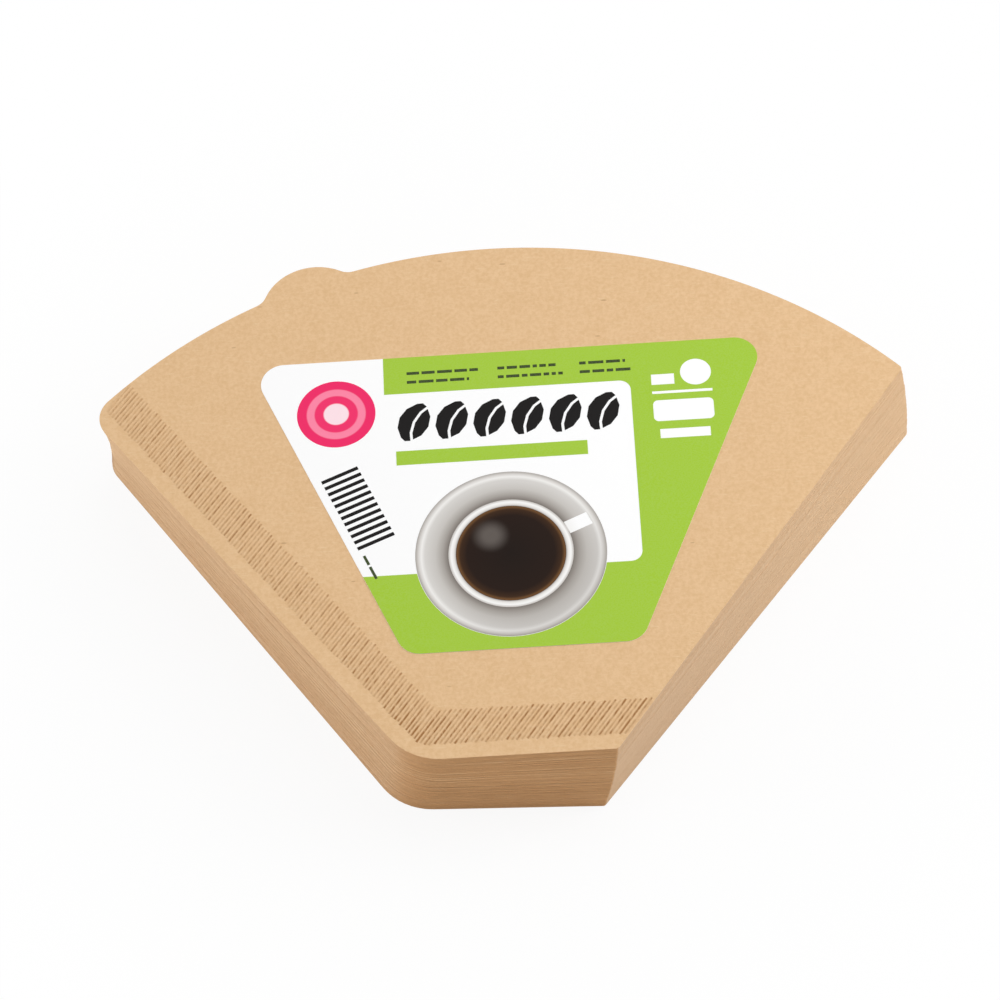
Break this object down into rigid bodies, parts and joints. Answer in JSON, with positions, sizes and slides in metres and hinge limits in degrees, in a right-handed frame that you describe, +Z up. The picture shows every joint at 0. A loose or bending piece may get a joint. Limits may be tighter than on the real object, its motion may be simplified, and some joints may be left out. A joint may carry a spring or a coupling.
{
  "type": "stack of paper coffee filters",
  "caption": "Flat stack of wedge-shaped kraft paper coffee filters with crimped seams and a printed paper label on top.",
  "frame": {"origin": "middle of the bottom filter's centre line, halfway between its bottom seam and its curved mouth, on its lower face", "axes": "+Z up through the stack, +Y from the bottom seam to the mouth, +X toward the folded side"},
  "size_m": [0.1775, 0.1292, 0.0249],
  "materials": {
    "kraft": "matte unbleached kraft paper",
    "kraft_edge": "matte cut edges of kraft paper",
    "label_white": "coated white label paper, satin",
    "ink_green": "printed green, satin",
    "ink_dark": "printed near black, satin",
    "ink_pink": "printed pink, satin",
    "ink_grey": "printed warm grey, satin"
  },
  "bodies": {
    "root": {"top_filter": "kraft", "lower_filters": "kraft_edge", "label": "label_white", "green_print": "ink_green", "dark_print": "ink_dark", "pink_print": "ink_pink", "grey_print": "ink_grey"}
  },
  "joints": []
}
